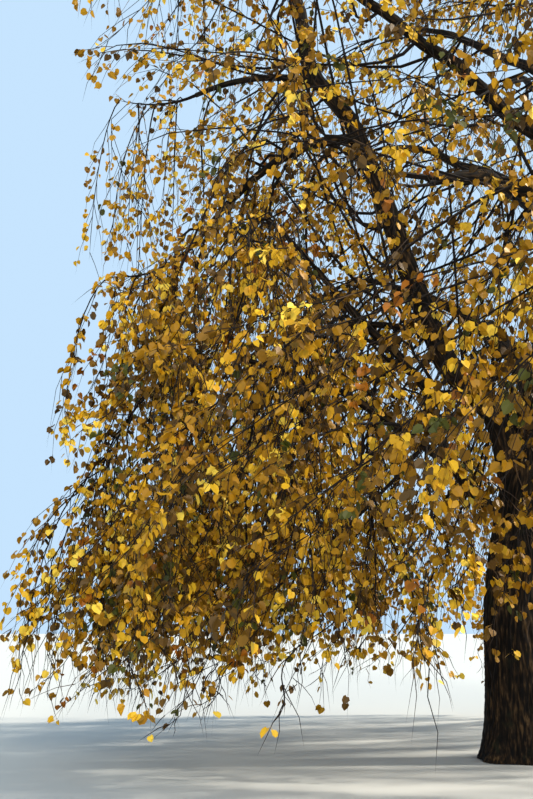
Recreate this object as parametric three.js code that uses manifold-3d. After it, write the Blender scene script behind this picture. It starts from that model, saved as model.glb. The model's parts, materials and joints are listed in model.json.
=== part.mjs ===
// A weeping silver lime in late autumn: a leaning trunk, arching boughs and hanging masses of foliage.
// Millimetres and degrees, +Z up, +X to the right, +Y to the back. The origin is the middle of the
// trunk's flat cut at ground level. Azimuths turn from +X (right, 0) to +Y (back, 90) and on.

import * as THREE from 'three';
import { mergeVertices } from 'three/addons/utils/BufferGeometryUtils.js';
import Module from 'manifold-3d';

const wasm = await Module();
wasm.setup();

const { Vector3 } = THREE;
const UP = new Vector3(0, 0, 1);
const GAP = 0.3; // between solids that meet
const FUSE_TOLERANCES = [5, 3, 2, 1, 0.4]; // tried in turn where twigs and leaves are fused

const BARK_COLOUR = 0x4a3d33;
const LEAF_COLOURS = [0xb98412, 0x8a6a1c];

// The trunk stands upright for its first metre and a half and then leans to the right.
const TRUNK = {
  top: 12300,
  footDiameter: 720,
  taper: 0.7,
  tipShare: 0.985,
  lean: 1150,
  leanFrom: 1400,
  leanTo: 7500,
  flare: 120,
  flareHeight: 300,
  flareRidges: 5,
  ridgeDepth: 0.35,
  rings: [0, 110, 260, 520, 1000, 1700, 2500, 3300, 4100, 4900, 5800, 6800, 7900, 9200, 10700, 12300],
  sides: 12,
};

// The crown is a dome on a straight skirt.
const CROWN = { axisX: 550, radius: 6700, widestAt: 6800, top: 15000, power: 2.6, lowest: 420 };

const SIDES = {
  right: 4,
  back_right: 44,
  back: 88,
  back_left: 134,
  left: 182,
  front_left: 232,
  front: 266,
  front_right: 322,
};

// The limbs on the left, each with its own course. from is a height on the trunk, or a share of the
// parent's length. A limb goes out by reach and up by lift, and arch bends it: above 0 it starts
// steep and levels off. crooks push it out at even steps along its length.
const LEFT_BOUGHS = [
  {
    name: 'left_leader', parent: 'trunk', from: 3000, azimuth: 182, reach: 2930, lift: 8300, arch: 0,
    butt: 345, tip: 125, crooks: [-150, 200, 200, 150, 145, 400, 230], rings: 7,
    mass: { name: 'top_left', azimuth: 186, radius: 5300, end: 11400, skirt: 8300, perk: 300 },
  },
  {
    name: 'left_low', parent: 'trunk', from: 2880, azimuth: 192, reach: 2600, lift: 3100, arch: 0,
    butt: 150, tip: 70, crooks: [290, 270, 120, -120, -120, -40, 0],
    mass: { name: 'low_front_left', azimuth: 226, radius: 5300, end: 4600, skirt: 1200 },
  },
  {
    name: 'left_spread', parent: 'left_low', from: 0.24, azimuth: 182, reach: 2650, lift: 1400, arch: 0.6,
    butt: 110, tip: 60, crooks: [0, 20, 0, -40, 0, 30, 0],
    mass: { name: 'low_left', azimuth: 190, radius: 5700, end: 3000, skirt: 480 },
  },
  {
    name: 'left_inner', parent: 'left_leader', from: 0.28, azimuth: 168, reach: 1900, lift: 100, arch: 6,
    butt: 95, tip: 55, crooks: [0, 0, 0],
    mass: { name: 'inner_left', azimuth: 160, radius: 5200, end: 3900, skirt: 550 },
  },
  {
    name: 'left_arch', parent: 'left_leader', from: 0.61, azimuth: 187, reach: 2100, lift: -1450, arch: -1.12,
    butt: 135, tip: 75, crooks: [0, 0, 0],
    mass: { name: 'middle_left', azimuth: 196, radius: 5600, end: 5500, skirt: 3300 },
  },
  {
    name: 'left_fork', parent: 'left_leader', from: 0.72, azimuth: 174, reach: 1750, lift: -60, arch: -12,
    butt: 105, tip: 60, crooks: [0, 0, 0],
    mass: { name: 'upper_left', azimuth: 176, radius: 5700, end: 8900, skirt: 5600, perk: 100 },
  },
  {
    name: 'upper_left', parent: 'trunk', from: 7700, azimuth: 191, reach: 3300, lift: 2500, arch: 0.1,
    butt: 225, tip: 90, crooks: [-30, 40, 0, -50, 30, 0, 40],
    mass: { name: 'upper_front_left', azimuth: 226, radius: 5000, end: 10300, skirt: 7400, perk: 100 },
  },
  {
    name: 'front_left', parent: 'trunk', from: 7340, azimuth: 206, reach: 2400, lift: -350, arch: 0,
    butt: 280, tip: 95, crooks: [-60, 0, 70, 20, -70, -50, 0],
    mass: { name: 'middle_front_left', azimuth: 232, radius: 5400, end: 6600, skirt: 4700 },
  },
];

// The other limbs go round the tree in tiers. The skirt of the lowest is higher in front.
const FRONT_RISE = 900;
const TIERS = [
  {
    name: 'low', sides: ['front', 'front_right', 'right', 'back_right', 'back', 'back_left'],
    from: 3650, step: 230, reach: 3150, lift: 2200, arch: 0.5, butt: 175, tip: 75,
    end: 3900, rim: 0.87, skirt: 750, perk: 0,
  },
  {
    name: 'middle', sides: ['front', 'front_right', 'right', 'back_right', 'back', 'back_left'],
    from: 5900, step: 230, reach: 3000, lift: 2300, arch: 0.4, butt: 175, tip: 75,
    end: 7300, rim: 0.88, skirt: 4500, perk: 0,
  },
  {
    name: 'upper', sides: ['front', 'right', 'back_right', 'back', 'back_left'],
    from: 8100, step: 230, reach: 2700, lift: 2400, arch: 0.3, butt: 150, tip: 70,
    end: 10600, rim: 0.87, skirt: 7700, perk: 150,
  },
  {
    name: 'top', sides: ['front', 'right', 'back'],
    from: 9700, step: 250, reach: 1500, lift: 2600, arch: 0.2, butt: 125, tip: 60,
    end: 13300, rim: 0.82, skirt: 10900, perk: 250,
  },
];

// How far boughs of one tier differ.
const VARY = { azimuth: 16, reach: 0.12, lift: 0.15, crooks: [90, 120, 120, 90] };

// The trunk's own tip carries the crest of the crown.
const CREST = {
  name: 'crest', azimuth: 0, radius: 450, end: 14600, skirt: 12300, perk: 350, twigs: 6, spread: 2500,
};

const LIMB = {
  sides: 6, thickSides: 8, thickFrom: 200, rings: 5, crowding: 1.15,
  taper: 0.85, collar: 0.28, collarLength: 260,
};
const STEM = { sides: 3, rings: 5, curve: 0.45, tipRadius: 13, startShare: 0.92 };
const TWIG = {
  count: 5, tries: 40, rings: 4, sides: 3, rootRadius: 15, tipRadius: 8, from: 0.1, rootShare: 0.12,
  sideAngle: 30, moreAngle: 75, spread: 1900, leastSpread: 0.35, sweep: 1.8, fall: 1.5, ragged: 1000,
  shortest: 0.45, leastDrop: 500, stemShare: 0.8,
};
const LEAF = {
  count: 3, from: 0.22, to: 0.92, length: 960, shorter: 0.72, width: 0.58, widestAt: 0.5,
  thickness: 0.02, leastOutward: 0.6, moreOutward: 0.9, tries: 18, freeFrom: 0.12, hang: 0.75,
  stemShares: [0.98], marksPerTwig: 8, stemMark: 900,
};
const SPACE = { squash: 0.6, between: 25, limbClear: 30, sample: 70, centreAt: 0.6, centreDrop: 0.35 };

// Steps that spread values evenly over the range 0 to 1, and the channels that chance() is asked on.
const EVEN = { golden: 0.6180339887, plastic: 0.7548776662 };
const CHANNEL = {
  azimuth: 1, reach: 2, lift: 3, firstCrook: 4, twigSpread: 1, twigBottom: 2, shade: 9,
  leafLength: 10, leafTwist: 30, leafOutward: 60,
};

const radians = THREE.MathUtils.degToRad;

function smooth(x) {
  const t = Math.min(Math.max(x, 0), 1);
  return t * t * (3 - 2 * t);
}

// A number from 0 to 1 that is always the same for the same three whole numbers.
function chance(seed, index, channel) {
  let h = Math.imul(seed, 374761393) ^ Math.imul(index + 1, 668265263) ^ Math.imul(channel + 1, 2246822519);
  h = Math.imul(h ^ (h >>> 15), 2246822519);
  h = Math.imul(h ^ (h >>> 13), 3266489917);
  return ((h ^ (h >>> 16)) >>> 0) / 4294967296;
}

function part(x) {
  return x - Math.floor(x);
}

function heading(azimuth) {
  return new Vector3(Math.cos(radians(azimuth)), Math.sin(radians(azimuth)), 0);
}

// Radius of the crown's outline at a height.
function crownRadius(z) {
  const t = Math.max((z - CROWN.widestAt) / (CROWN.top - CROWN.widestAt), 0);
  return t >= 1 ? 0 : CROWN.radius * Math.sqrt(1 - t ** CROWN.power);
}

function insideCrown(p) {
  return p.z > CROWN.lowest && Math.hypot(p.x - CROWN.axisX, p.y) < crownRadius(p.z);
}

// Value at t in a row of evenly spaced values that starts and ends at 0, without corners.
function eased(values, t) {
  const row = [0, ...values, 0];
  const place = t * (row.length - 1);
  const i = Math.min(Math.floor(place), row.length - 2);
  return THREE.MathUtils.lerp(row[i], row[i + 1], smooth(place - i));
}

// A row of straight steps between evenly spaced points of a curve, so that what grows on a faceted
// twig starts inside it.
function stepped(at, rings) {
  const points = [];
  for (let i = 0; i < rings; i += 1) points.push(at(i / (rings - 1)));
  const along = (t) => {
    const i = Math.min(Math.floor(t * (rings - 1)), rings - 2);
    return points[i].clone().lerp(points[i + 1], t * (rings - 1) - i);
  };
  return { points, at: along };
}

// A limb is a centre line at(t) with a radius(t), for t from 0 to 1.
function trunkLimb() {
  const leanAt = (z) => TRUNK.lean * smooth((z - TRUNK.leanFrom) / (TRUNK.leanTo - TRUNK.leanFrom));
  return {
    name: 'trunk',
    at: (t) => new Vector3(leanAt(t * TRUNK.top), 0, t * TRUNK.top),
    radius: (t) => (TRUNK.footDiameter / 2) * (1 - t * TRUNK.tipShare) ** TRUNK.taper,
    length: TRUNK.top,
  };
}

function boughLimb(bough, parent) {
  const start = parent.at(parent.name === 'trunk' ? bough.from / TRUNK.top : bough.from);
  const out = heading(bough.azimuth);
  const length = Math.hypot(bough.reach, bough.lift);
  const aside = out.clone().multiplyScalar(bough.lift / length).addScaledVector(UP, -bough.reach / length);
  const spread = (t) => bough.tip + (bough.butt - bough.tip) * (1 - t) ** LIMB.taper;
  const collar = (t) => 1 + LIMB.collar * Math.exp((-t * length) / LIMB.collarLength);
  return {
    name: bough.name,
    parent,
    at: (t) => start.clone()
      .addScaledVector(out, bough.reach * t)
      .addScaledVector(UP, bough.lift * ((1 + bough.arch) * t - bough.arch * t * t))
      .addScaledVector(aside, eased(bough.crooks, t)),
    radius: (t) => (spread(t) * collar(t)) / 2,
    rings: bough.rings ?? LIMB.rings,
    length,
  };
}

function directionAt(limb, t) {
  const step = 0.002;
  return limb.at(Math.min(t + step, 1)).sub(limb.at(Math.max(t - step, 0))).normalize();
}

// Boughs of one tier, alike but for their azimuths, heights and small crooks.
function tierBoughs(tier, tierIndex) {
  return tier.sides.map((side, i) => {
    const vary = (channel) => chance(tierIndex + 1, i, channel) - 0.5;
    const crooks = VARY.crooks.map((amount, k) => amount * vary(CHANNEL.firstCrook + k));
    return {
      name: `${tier.name}_${side}`,
      parent: 'trunk',
      from: tier.from + tier.step * ((i * 2) % tier.sides.length),
      azimuth: SIDES[side] + VARY.azimuth * vary(CHANNEL.azimuth),
      reach: tier.reach * (1 + VARY.reach * vary(CHANNEL.reach)),
      lift: tier.lift * (1 + VARY.lift * vary(CHANNEL.lift)),
      arch: tier.arch,
      butt: tier.butt,
      tip: tier.tip,
      crooks,
      mass: {
        name: `${tier.name}_${side}`,
        azimuth: SIDES[side],
        radius: tier.rim * crownRadius(tier.end),
        end: tier.end,
        skirt: tier.skirt + FRONT_RISE * Math.max(0, -Math.sin(radians(SIDES[side]))),
        perk: tier.perk,
      },
    };
  });
}

// The direction of travel at each centre point of a tube.
function tubeDirections(points, { startDirection, endDirection }) {
  const directions = points.map((point, i) => {
    const before = points[Math.max(i - 1, 0)];
    const after = points[Math.min(i + 1, points.length - 1)];
    return after.clone().sub(before).normalize();
  });
  if (startDirection) directions[0].copy(startDirection);
  if (endDirection) directions[points.length - 1].copy(endDirection);
  return directions;
}

// Rings of vertices square to the directions, carried along without a twist.
function ringVertices(points, directions, sides, radiusAt) {
  const side = Math.abs(directions[0].x) > 0.9 ? new Vector3(0, 1, 0) : new Vector3(1, 0, 0);
  const vertices = [];
  points.forEach((point, i) => {
    side.addScaledVector(directions[i], -side.dot(directions[i])).normalize();
    const across = directions[i].clone().cross(side);
    for (let k = 0; k < sides; k += 1) {
      const angle = (k / sides) * Math.PI * 2;
      const radius = radiusAt(i, angle);
      const vertex = point.clone()
        .addScaledVector(side, Math.cos(angle) * radius)
        .addScaledVector(across, Math.sin(angle) * radius);
      vertices.push(...vertex.toArray());
    }
  });
  return vertices;
}

// Faces between the rings and over the first of them.
function ringFaces(rings, sides) {
  const faces = [];
  for (let i = 0; i + 1 < rings; i += 1) {
    for (let k = 0; k < sides; k += 1) {
      const a = i * sides + k;
      const b = i * sides + ((k + 1) % sides);
      faces.push(a, b, b + sides, a, b + sides, a + sides);
    }
  }
  for (let k = 1; k + 1 < sides; k += 1) faces.push(0, k + 1, k);
  return faces;
}

// A closed tube along centre points, with radiusAt(i, angle), flat at its start and flat or pointed
// at its end. The end faces look along the given directions, or along the tube.
function tube(points, sides, radiusAt, ends = {}) {
  const directions = tubeDirections(points, ends);
  const ringed = ends.pointed ? points.slice(0, -1) : points;
  const vertices = ringVertices(ringed, directions, sides, radiusAt);
  const faces = ringFaces(ringed.length, sides);
  const last = (ringed.length - 1) * sides;
  if (ends.pointed) {
    vertices.push(...points[points.length - 1].toArray());
    for (let k = 0; k < sides; k += 1) faces.push(last + k, last + ((k + 1) % sides), last + sides);
  } else {
    for (let k = 1; k + 1 < sides; k += 1) faces.push(last, last + k, last + k + 1);
  }
  return solid(vertices, faces);
}

function solid(vertices, faces) {
  return new wasm.Manifold(new wasm.Mesh({
    numProp: 3,
    vertProperties: new Float32Array(vertices),
    triVerts: new Uint32Array(faces),
  }));
}

function trunkSolid(limb, extra) {
  const flare = (z, angle) => TRUNK.flare * Math.exp(-z / TRUNK.flareHeight)
    * (1 + TRUNK.ridgeDepth * Math.cos(TRUNK.flareRidges * angle));
  const points = TRUNK.rings.map((z) => limb.at(z / TRUNK.top));
  const radiusAt = (i, angle) => {
    const z = TRUNK.rings[i];
    return limb.radius(z / TRUNK.top) + flare(z, angle) + extra;
  };
  return tube(points, TRUNK.sides, radiusAt, { startDirection: UP, endDirection: UP });
}

function sidesOf(limb) {
  if (limb.name === 'trunk') return TRUNK.sides;
  return limb.radius(0.5) * 2 > LIMB.thickFrom ? LIMB.thickSides : LIMB.sides;
}

function boughSolid(limb, extra) {
  const points = [];
  const share = (i) => (i / limb.rings) ** LIMB.crowding;
  for (let i = 0; i <= limb.rings; i += 1) points.push(limb.at(share(i)));
  const radiusAt = (i) => limb.radius(share(i)) + extra;
  return tube(points, sidesOf(limb), radiusAt, { endDirection: directionAt(limb, 1) });
}

function limbSolid(limb, extra = 0) {
  return limb.name === 'trunk' ? trunkSolid(limb, extra) : boughSolid(limb, extra);
}

// A bough starts inside its parent and is cut clear of it.
function fittedBough(limb) {
  const parent = limbSolid(limb.parent, GAP / Math.cos(Math.PI / sidesOf(limb.parent)));
  return largest(limbSolid(limb).subtract(parent));
}

function largest(shape) {
  const pieces = shape.decompose();
  return pieces.reduce((best, piece) => (piece.volume() > best.volume() ? piece : best));
}

// The stem of a mass carries on from its bough's tip and bends over to the crown's edge.
function massStem(mass, bough) {
  const start = bough.at(1).addScaledVector(directionAt(bough, 1), GAP);
  const end = heading(mass.azimuth).multiplyScalar(mass.radius);
  end.x += CROWN.axisX;
  end.z = mass.end;
  const bend = start.clone().addScaledVector(directionAt(bough, 1), STEM.curve * start.distanceTo(end));
  const curve = new THREE.QuadraticBezierCurve3(start, bend, end);
  const startRadius = bough.radius(1) * STEM.startShare;
  return {
    ...stepped((t) => curve.getPoint(t), STEM.rings),
    startDirection: directionAt(bough, 1),
    radius: (t) => THREE.MathUtils.lerp(startRadius, STEM.tipRadius, t),
    length: curve.getLength(),
  };
}

// The middle of a mass's space, under its stem.
function massCentre(mass) {
  const centre = mass.stem.at(SPACE.centreAt);
  centre.z -= SPACE.centreDrop * (centre.z - mass.skirt);
  return centre;
}

function squashedDistance(p, centre) {
  return Math.hypot(p.x - centre.x, p.y - centre.y, SPACE.squash * (p.z - centre.z));
}

// A point is in a mass's own space where it is inside the crown and nearer to that mass's centre
// than to any other's.
function inOwnSpace(p, mass, masses, room) {
  if (!insideCrown(p)) return false;
  const own = squashedDistance(p, mass.centre) + 2 * (room + SPACE.between);
  return masses.every((other) => other === mass || squashedDistance(p, other.centre) > own);
}

// Balls along a limb, for telling how near something comes to it.
function limbBalls(limb) {
  const count = Math.ceil(limb.length / SPACE.sample);
  const balls = [];
  for (let i = 0; i <= count; i += 1) balls.push({ at: limb.at(i / count), radius: limb.radius(i / count) });
  return balls;
}

function clearOfLimbs(p, balls, room) {
  return balls.every((ball) => p.distanceTo(ball.at) > ball.radius + room + SPACE.limbClear);
}

// Twig i of a mass leaves its stem to one side, spreads out and hangs down.
function twigCourse(mass, i) {
  const s = TWIG.from + (1 - TWIG.from) * part(0.5 + i * EVEN.golden);
  const root = mass.stem.at(s);
  const along = directionAt(mass.stem, s);
  const stemAzimuth = THREE.MathUtils.radToDeg(Math.atan2(along.y, along.x));
  const turn = TWIG.sideAngle + TWIG.moreAngle * part(i * EVEN.plastic);
  const out = heading(stemAzimuth + (i % 2 ? turn : -turn));
  const spreadShare = THREE.MathUtils.lerp(TWIG.leastSpread, 1, chance(mass.seed, i, CHANNEL.twigSpread));
  const spread = (mass.spread ?? TWIG.spread) * spreadShare;
  const ragged = TWIG.ragged * chance(mass.seed, i, CHANNEL.twigBottom);
  const drop = Math.max(root.z - mass.skirt - LEAF.hang * LEAF.length - ragged, TWIG.leastDrop);
  const at = (t) => root.clone()
    .addScaledVector(out, spread * (1 - (1 - t) ** TWIG.sweep))
    .addScaledVector(UP, 4 * (mass.perk ?? 0) * t * (1 - t) - drop * t ** TWIG.fall);
  const rootRadius = Math.min(TWIG.rootRadius, TWIG.stemShare * mass.stem.radius(s));
  return { at, azimuth: stemAzimuth, reach: spread + drop, rootRadius };
}

// How much of a twig's length stays in its mass's space and clear of the limbs.
function freeShare(course, mass, masses, balls) {
  const steps = Math.ceil(course.reach / SPACE.sample);
  for (let k = 1; k <= steps; k += 1) {
    const p = course.at(k / steps);
    const nearRoot = k / steps < TWIG.rootShare;
    const free = inOwnSpace(p, mass, masses, TWIG.rootRadius)
      && (nearRoot || clearOfLimbs(p, balls, TWIG.rootRadius));
    if (!free) return (k - 1) / steps;
  }
  return 1;
}

function massTwigs(mass, masses, balls) {
  const twigs = [];
  for (let i = 0; i < TWIG.tries && twigs.length < (mass.twigs ?? TWIG.count); i += 1) {
    const course = twigCourse(mass, i);
    const share = freeShare(course, mass, masses, balls);
    if (share >= TWIG.shortest) {
      twigs.push({ ...course, ...stepped((t) => course.at(t * share), TWIG.rings), index: i });
    }
  }
  return twigs;
}

function twigSolid(twig) {
  const radiusAt = (i) => THREE.MathUtils.lerp(twig.rootRadius, TWIG.tipRadius, i / (TWIG.rings - 1));
  return tube(twig.points, TWIG.sides, radiusAt, { pointed: true });
}

function stemSolid(stem) {
  const radiusAt = (i) => stem.radius(i / (STEM.rings - 1));
  return tube(stem.points, STEM.sides, radiusAt, { startDirection: stem.startDirection });
}

// A leaf hangs from its root: a kite, flat behind and thick in the middle. It stands for a spray of
// leaves. The frame gives points by shares of the leaf's length, along, across and through it.
function leafFrame(root, azimuth, outward, twist, length) {
  const along = heading(azimuth).multiplyScalar(outward).addScaledVector(UP, -1).normalize();
  const level = new Vector3().crossVectors(along, UP).normalize();
  const across = level.applyAxisAngle(along, radians(twist));
  const through = new Vector3().crossVectors(along, across);
  return (u, v, w) => root.clone()
    .addScaledVector(along, u * length)
    .addScaledVector(across, v * length)
    .addScaledVector(through, w * length);
}

// Whether a leaf lies in its mass's space and clear of the limbs, read at points all over it.
function leafFits(place, length, mass, masses, balls) {
  const steps = Math.ceil(length / SPACE.sample);
  for (let i = 2; i <= steps; i += 1) {
    const u = i / steps;
    const half = (LEAF.width / 2) * Math.min(u / LEAF.widestAt, (1 - u) / (1 - LEAF.widestAt));
    for (let k = -2; k <= 2; k += 1) {
      const p = place(u, (half * k) / 2, 0);
      const room = LEAF.thickness * length;
      if (!inOwnSpace(p, mass, masses, room) || !clearOfLimbs(p, balls, room)) return false;
    }
  }
  return true;
}

function leafSolid(place, rootAt) {
  const half = LEAF.width / 2;
  const corners = [
    place(rootAt, 0, 0),
    place(LEAF.widestAt, -half, 0),
    place(1, 0, 0),
    place(LEAF.widestAt, half, 0),
    place(LEAF.widestAt, 0, LEAF.thickness),
  ].flatMap((p) => p.toArray());
  const faces = [0, 1, 4, 1, 2, 4, 2, 3, 4, 3, 0, 4, 0, 3, 2, 0, 2, 1];
  return solid(corners, faces);
}

// Adds a leaf at this root, in the first direction where it crosses nothing but its own twig.
function addLeaf(shape, root, azimuth, mark, mass, masses, balls) {
  for (let k = 0; k < LEAF.tries; k += 1) {
    const fullness = chance(mass.seed, mark, CHANNEL.leafLength + k);
    const length = LEAF.length * THREE.MathUtils.lerp(LEAF.shorter, 1, fullness);
    const turn = 360 * part(mark * EVEN.golden + k * EVEN.plastic);
    const outward = LEAF.leastOutward + LEAF.moreOutward * chance(mass.seed, mark, CHANNEL.leafOutward + k);
    const twist = 180 * chance(mass.seed, mark, CHANNEL.leafTwist + k);
    const place = leafFrame(root, azimuth + turn, outward, twist, length);
    const fits = leafFits(place, length, mass, masses, balls)
      && shape.intersect(leafSolid(place, LEAF.freeFrom)).isEmpty();
    if (!fits) continue;
    const joined = shape.add(leafSolid(place, 0));
    if (isClosed(geometryOf(joined))) return joined;
  }
  return shape;
}

// A mass of foliage: its stem, twigs and leaves fused into one solid.
function massSolid(mass, masses, balls) {
  const clearBalls = balls.filter((ball) => ball.owner !== mass.name);
  const twigs = massTwigs(mass, masses, clearBalls);
  let shape = wasm.Manifold.union([stemSolid(mass.stem), ...twigs.map(twigSolid)]);
  twigs.forEach((twig) => {
    for (let k = 0; k < LEAF.count; k += 1) {
      const t = THREE.MathUtils.lerp(LEAF.from, LEAF.to, k / (LEAF.count - 1));
      const mark = twig.index * LEAF.marksPerTwig + k;
      shape = addLeaf(shape, twig.at(t), twig.azimuth, mark, mass, masses, clearBalls);
    }
  });
  LEAF.stemShares.forEach((t, k) => {
    shape = addLeaf(shape, mass.stem.at(t), 0, LEAF.stemMark + k, mass, masses, clearBalls);
  });
  return settled(shape);
}

// The fused shape without its smallest faces, as one closed body.
function settled(shape) {
  let geometry;
  for (const tolerance of FUSE_TOLERANCES) {
    geometry = geometryOf(largest(shape.simplify(tolerance)));
    if (isClosed(geometry)) break;
  }
  return largest(solid(geometry.getAttribute('position').array, geometry.getIndex().array));
}

// Whether each edge has just two faces, one on either side.
function isClosed(geometry) {
  const corners = geometry.getIndex().array;
  const edges = new Set();
  for (let i = 0; i < corners.length; i += 1) {
    const next = i % 3 === 2 ? i - 2 : i + 1;
    edges.add(`${corners[i]} ${corners[next]}`);
  }
  const paired = [...edges].every((edge) => edges.has(edge.split(' ').reverse().join(' ')));
  return paired && edges.size === corners.length;
}

const barkMaterial = () => new THREE.MeshStandardMaterial({
  color: BARK_COLOUR,
  roughness: 0.9,
  metalness: 0,
});
const foliageMaterial = (shade) => new THREE.MeshStandardMaterial({
  color: new THREE.Color(LEAF_COLOURS[0]).lerp(new THREE.Color(LEAF_COLOURS[1]), shade),
  roughness: 0.7,
  metalness: 0,
});

// The faces of a solid, with vertices closer than a thousandth of a millimetre made one.
function geometryOf(shape) {
  const { vertProperties, triVerts } = shape.getMesh();
  const geometry = new THREE.BufferGeometry();
  geometry.setAttribute('position', new THREE.BufferAttribute(new Float32Array(vertProperties), 3));
  geometry.setIndex(new THREE.BufferAttribute(new Uint32Array(triVerts), 1));
  return mergeVertices(geometry, 1e-3);
}

function meshOf(shape, name, material) {
  const mesh = new THREE.Mesh(geometryOf(shape), material);
  mesh.name = name;
  return mesh;
}

function growBoughs() {
  const limbs = new Map([['trunk', trunkLimb()]]);
  const boughs = [...LEFT_BOUGHS, ...TIERS.flatMap(tierBoughs)];
  boughs.forEach((bough) => limbs.set(bough.name, boughLimb(bough, limbs.get(bough.parent))));
  return { limbs, boughs };
}

function growMasses(limbs, boughs) {
  const rows = [...boughs.map((bough) => [bough.mass, bough.name]), [CREST, 'trunk']];
  const masses = rows.map(([mass, boughName], i) => ({ ...mass, boughName, seed: i + 11 }));
  masses.forEach((mass) => {
    mass.stem = massStem(mass, limbs.get(mass.boughName));
    mass.centre = massCentre(mass);
  });
  return masses;
}

function buildTree() {
  const tree = new THREE.Group();
  tree.name = 'weeping_silver_lime';
  const { limbs, boughs } = growBoughs();
  const masses = growMasses(limbs, boughs);
  tree.add(meshOf(trunkSolid(limbs.get('trunk'), 0), 'trunk', barkMaterial()));
  boughs.forEach(({ name }) => {
    tree.add(meshOf(fittedBough(limbs.get(name)), `bough_${name}`, barkMaterial()));
  });
  const balls = [...limbs.values()].flatMap(limbBalls);
  masses.forEach((mass) => {
    balls.push(...limbBalls(mass.stem).map((ball) => ({ ...ball, owner: mass.name })));
  });
  masses.forEach((mass) => {
    const shade = chance(mass.seed, 0, CHANNEL.shade);
    tree.add(meshOf(massSolid(mass, masses, balls), `foliage_${mass.name}`, foliageMaterial(shade)));
  });
  return tree;
}

export default buildTree();
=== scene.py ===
"""A weeping silver lime in late autumn. Metres, +Z up, +X right, +Y to the back, as in the frame.

The limbs, stems and twigs grow by the rule of the part's source, in metres. Here long whips grow from
the boughs and stems too, and shoots with heart-shaped leaves grow from all of them.
"""

import json
import math

import bpy
import numpy as np
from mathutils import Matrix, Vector, noise

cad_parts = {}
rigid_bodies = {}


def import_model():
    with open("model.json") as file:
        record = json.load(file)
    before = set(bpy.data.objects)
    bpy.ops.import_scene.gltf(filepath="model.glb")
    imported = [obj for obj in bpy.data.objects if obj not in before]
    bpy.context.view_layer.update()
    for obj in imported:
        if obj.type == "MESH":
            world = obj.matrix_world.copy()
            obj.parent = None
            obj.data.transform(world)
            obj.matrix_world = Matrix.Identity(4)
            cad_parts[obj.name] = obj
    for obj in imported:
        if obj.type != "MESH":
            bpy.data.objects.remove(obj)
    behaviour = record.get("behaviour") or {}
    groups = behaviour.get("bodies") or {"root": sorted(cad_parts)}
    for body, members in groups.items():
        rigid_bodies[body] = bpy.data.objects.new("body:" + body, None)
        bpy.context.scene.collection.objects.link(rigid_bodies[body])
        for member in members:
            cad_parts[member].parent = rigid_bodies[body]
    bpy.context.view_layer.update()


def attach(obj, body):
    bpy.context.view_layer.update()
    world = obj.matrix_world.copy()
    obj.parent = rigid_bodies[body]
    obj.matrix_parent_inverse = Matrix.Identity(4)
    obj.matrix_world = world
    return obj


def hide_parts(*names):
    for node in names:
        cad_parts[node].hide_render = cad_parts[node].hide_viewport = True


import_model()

# The camera stands at the photograph's viewpoint.
CAMERA = {"at": (-3.0, -12.3, 1.5), "pitch": 13.24, "lens": 44.16, "sensor": 36, "far": 2000}

# ---- the limbs and masses, in metres and degrees, as in the part's source ----

TRUNK = {
    "top": 12.3, "foot": 0.72, "taper": 0.7, "tip_share": 0.985,
    "lean": 1.15, "lean_from": 1.4, "lean_to": 7.5,
    "flare": 0.12, "flare_height": 0.3, "flare_ridges": 5, "ridge_depth": 0.35,
}
CROWN = {"axis_x": 0.55, "radius": 6.7, "widest_at": 6.8, "top": 15.0, "power": 2.6, "lowest": 0.42}
SIDES = {
    "right": 4, "back_right": 44, "back": 88, "back_left": 134,
    "left": 182, "front_left": 232, "front": 266, "front_right": 322,
}


def mass(name, azimuth, radius, end, skirt, perk=0.0, twigs=1.0, spread=1.9, leafy=1.0, turn=0,
         far=0.985, fan=32, bias=0.6):
    """The facts of a mass of foliage.

    Its stem ends at azimuth, radius and the height end, and its twigs hang down to skirt. The whips
    reach far of the crown's radius, fan out to either side, and bias draws their ends outwards.
    """
    return dict(name=name, azimuth=azimuth, radius=radius, end=end, skirt=skirt, perk=perk,
                twigs=twigs, spread=spread, leafy=leafy, turn=turn, far=far, fan=fan, bias=bias)


def bough(name, parent, start, azimuth, reach, lift, arch, butt, tip, crooks, foliage):
    """The facts of a bough, as in the part's source."""
    return dict(name=name, parent=parent, start=start, azimuth=azimuth, reach=reach, lift=lift,
                arch=arch, butt=butt, tip=tip, crooks=crooks, mass=foliage)


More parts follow.
